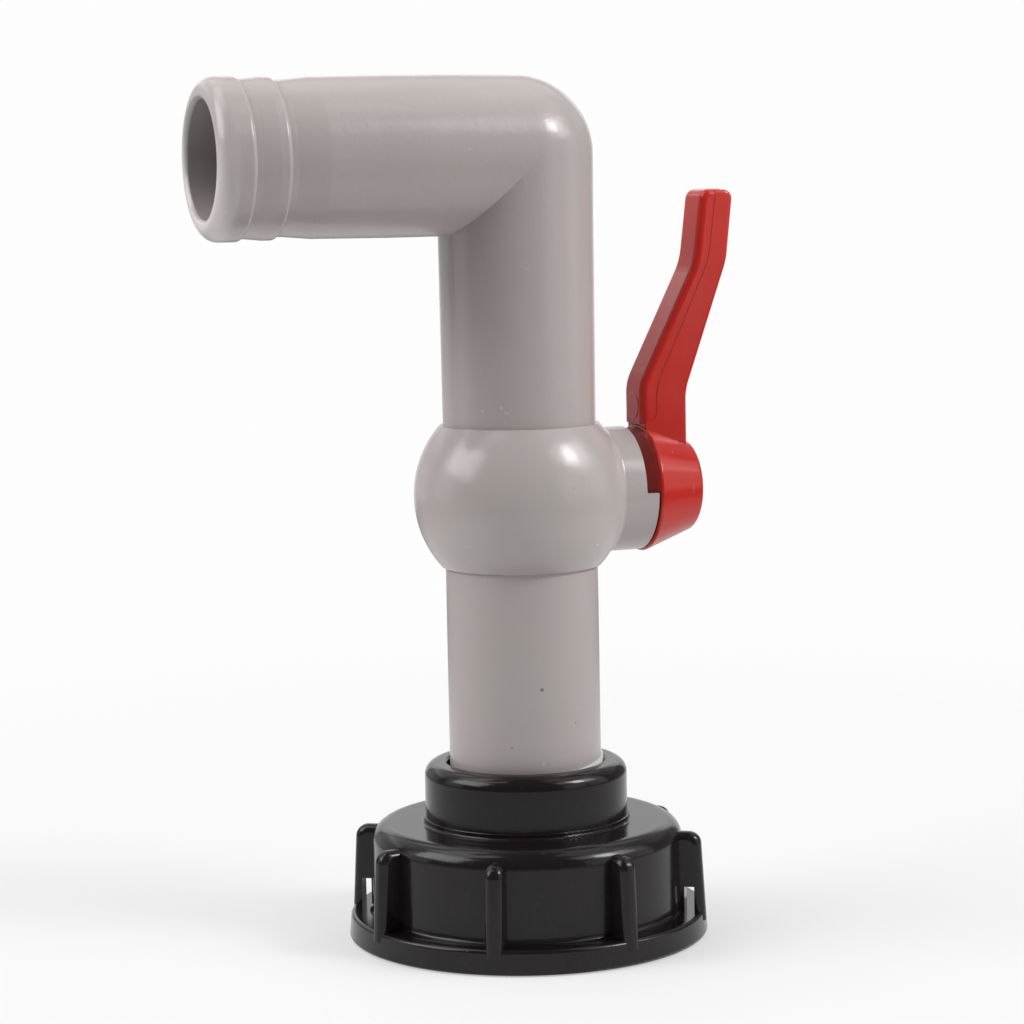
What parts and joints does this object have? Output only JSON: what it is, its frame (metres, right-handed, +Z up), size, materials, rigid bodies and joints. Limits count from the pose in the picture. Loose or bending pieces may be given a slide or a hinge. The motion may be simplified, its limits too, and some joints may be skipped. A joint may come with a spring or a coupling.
{
  "type": "ibc tank valve",
  "caption": "Upright tank outlet valve: ribbed coarse-thread coupling cap, riser pipe, round ball-valve body with a quarter-turn lever, and an elbow spout ending in a hose barb.",
  "frame": {"origin": "centre of the coupling cap's open mouth, in the plane of its bottom flange", "axes": "+Z up the riser along the cap's thread axis; +X along the valve stem towards the handle; -X along the spout towards its open end"},
  "size_m": [0.1204, 0.0798, 0.1896],
  "materials": {
    "black_plastic": "semi-gloss moulded black",
    "grey_plastic": "satin moulded warm grey",
    "red_plastic": "glossy moulded red",
    "white_ptfe": "waxy white",
    "ball_plastic": "polished moulded",
    "black_rubber": "matt",
    "steel": "plain"
  },
  "bodies": {
    "housing": {"coupling_cap": "black_plastic", "cap_gasket": "black_rubber", "thread_seal_tape": "white_ptfe", "inlet_pipe": "grey_plastic", "inlet_seat_o_ring": "black_rubber", "inlet_seat_ring": "white_ptfe", "outlet_seat_ring": "white_ptfe", "outlet_seat_o_ring": "black_rubber", "valve_body": "grey_plastic", "outlet_elbow": "grey_plastic", "stem_thrust_washer": "white_ptfe"},
    "spindle": {"ball": "ball_plastic", "stem": "ball_plastic", "stem_o_ring_inner": "black_rubber", "stem_o_ring_outer": "black_rubber", "handle": "red_plastic", "handle_screw_washer": "steel", "handle_screw": "steel"}
  },
  "joints": [
    {"name": "handle_turn", "type": "hinge", "parent": "housing", "child": "spindle", "pos_m": [0, 0, 0.098], "axis": [-1, 0, 0], "range_deg": [0, 90]}
  ]
}
